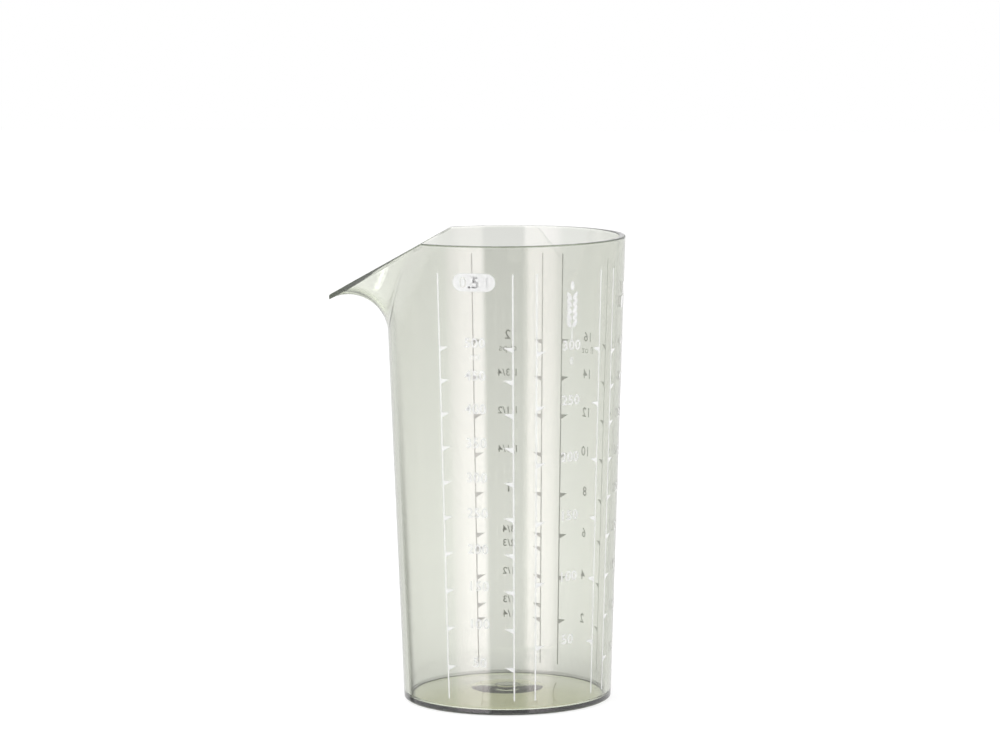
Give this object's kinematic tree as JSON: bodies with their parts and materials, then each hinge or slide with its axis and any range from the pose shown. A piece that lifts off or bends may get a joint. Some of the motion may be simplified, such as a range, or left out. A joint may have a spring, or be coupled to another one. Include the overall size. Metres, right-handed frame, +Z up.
{
  "type": "measuring beaker",
  "caption": "Tapered clear plastic measuring beaker with a sloping mouth that ends in a pointed pouring lip, and printed volume and weight scales round its wall.",
  "frame": {"origin": "centre of the base, on the surface that the beaker stands on", "axes": "+Z up; the pouring lip points along -X; mirror-symmetric body about the XZ plane; the millilitre scale faces -Y"},
  "size_m": [0.1028, 0.0828, 0.16],
  "materials": {
    "clear_plastic": "glossy moulded clear plastic with a faint grey-green tint",
    "printed_ink": "screen-printed white ink"
  },
  "bodies": {
    "root": {"beaker_body": "clear_plastic", "millilitre_scale": "printed_ink", "flour_scale": "printed_ink", "sugar_scale": "printed_ink", "fluid_ounce_scale": "printed_ink", "cup_scale": "printed_ink"}
  },
  "joints": []
}
